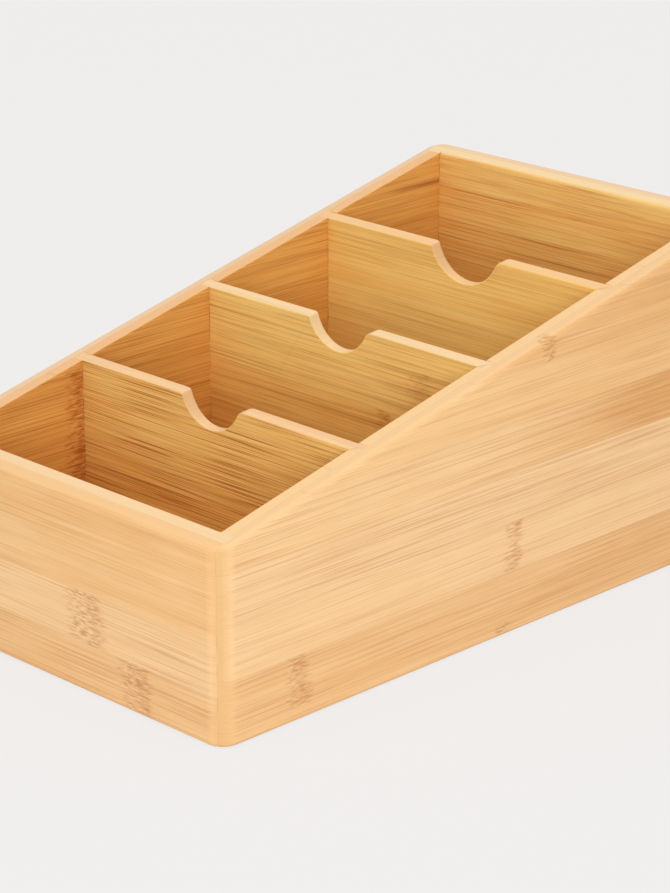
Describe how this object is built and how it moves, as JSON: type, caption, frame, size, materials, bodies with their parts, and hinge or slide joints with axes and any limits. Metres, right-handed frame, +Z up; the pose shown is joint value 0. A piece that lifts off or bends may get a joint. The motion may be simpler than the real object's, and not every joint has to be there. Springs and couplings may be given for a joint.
{
  "type": "kitchen organizer",
  "caption": "Tiered bamboo kitchen organizer: a box with a rim that slopes up to the back, split by notched dividers into upright compartments.",
  "frame": {"origin": "middle of the footprint, on the surface that the organizer stands on", "axes": "+X to the right across the organizer, +Y from the low front to the tall back, +Z up"},
  "size_m": [0.14, 0.24, 0.1181],
  "materials": {
    "bamboo_wall": "satin lacquer",
    "bamboo_divider": "satin lacquer",
    "bamboo_base": "satin lacquer"
  },
  "bodies": {
    "root": {"left_side_panel": "bamboo_wall", "right_side_panel": "bamboo_wall", "front_panel": "bamboo_wall", "back_panel": "bamboo_wall", "base_panel": "bamboo_base", "front_divider": "bamboo_divider", "middle_divider": "bamboo_divider", "rear_divider": "bamboo_divider"}
  },
  "joints": []
}
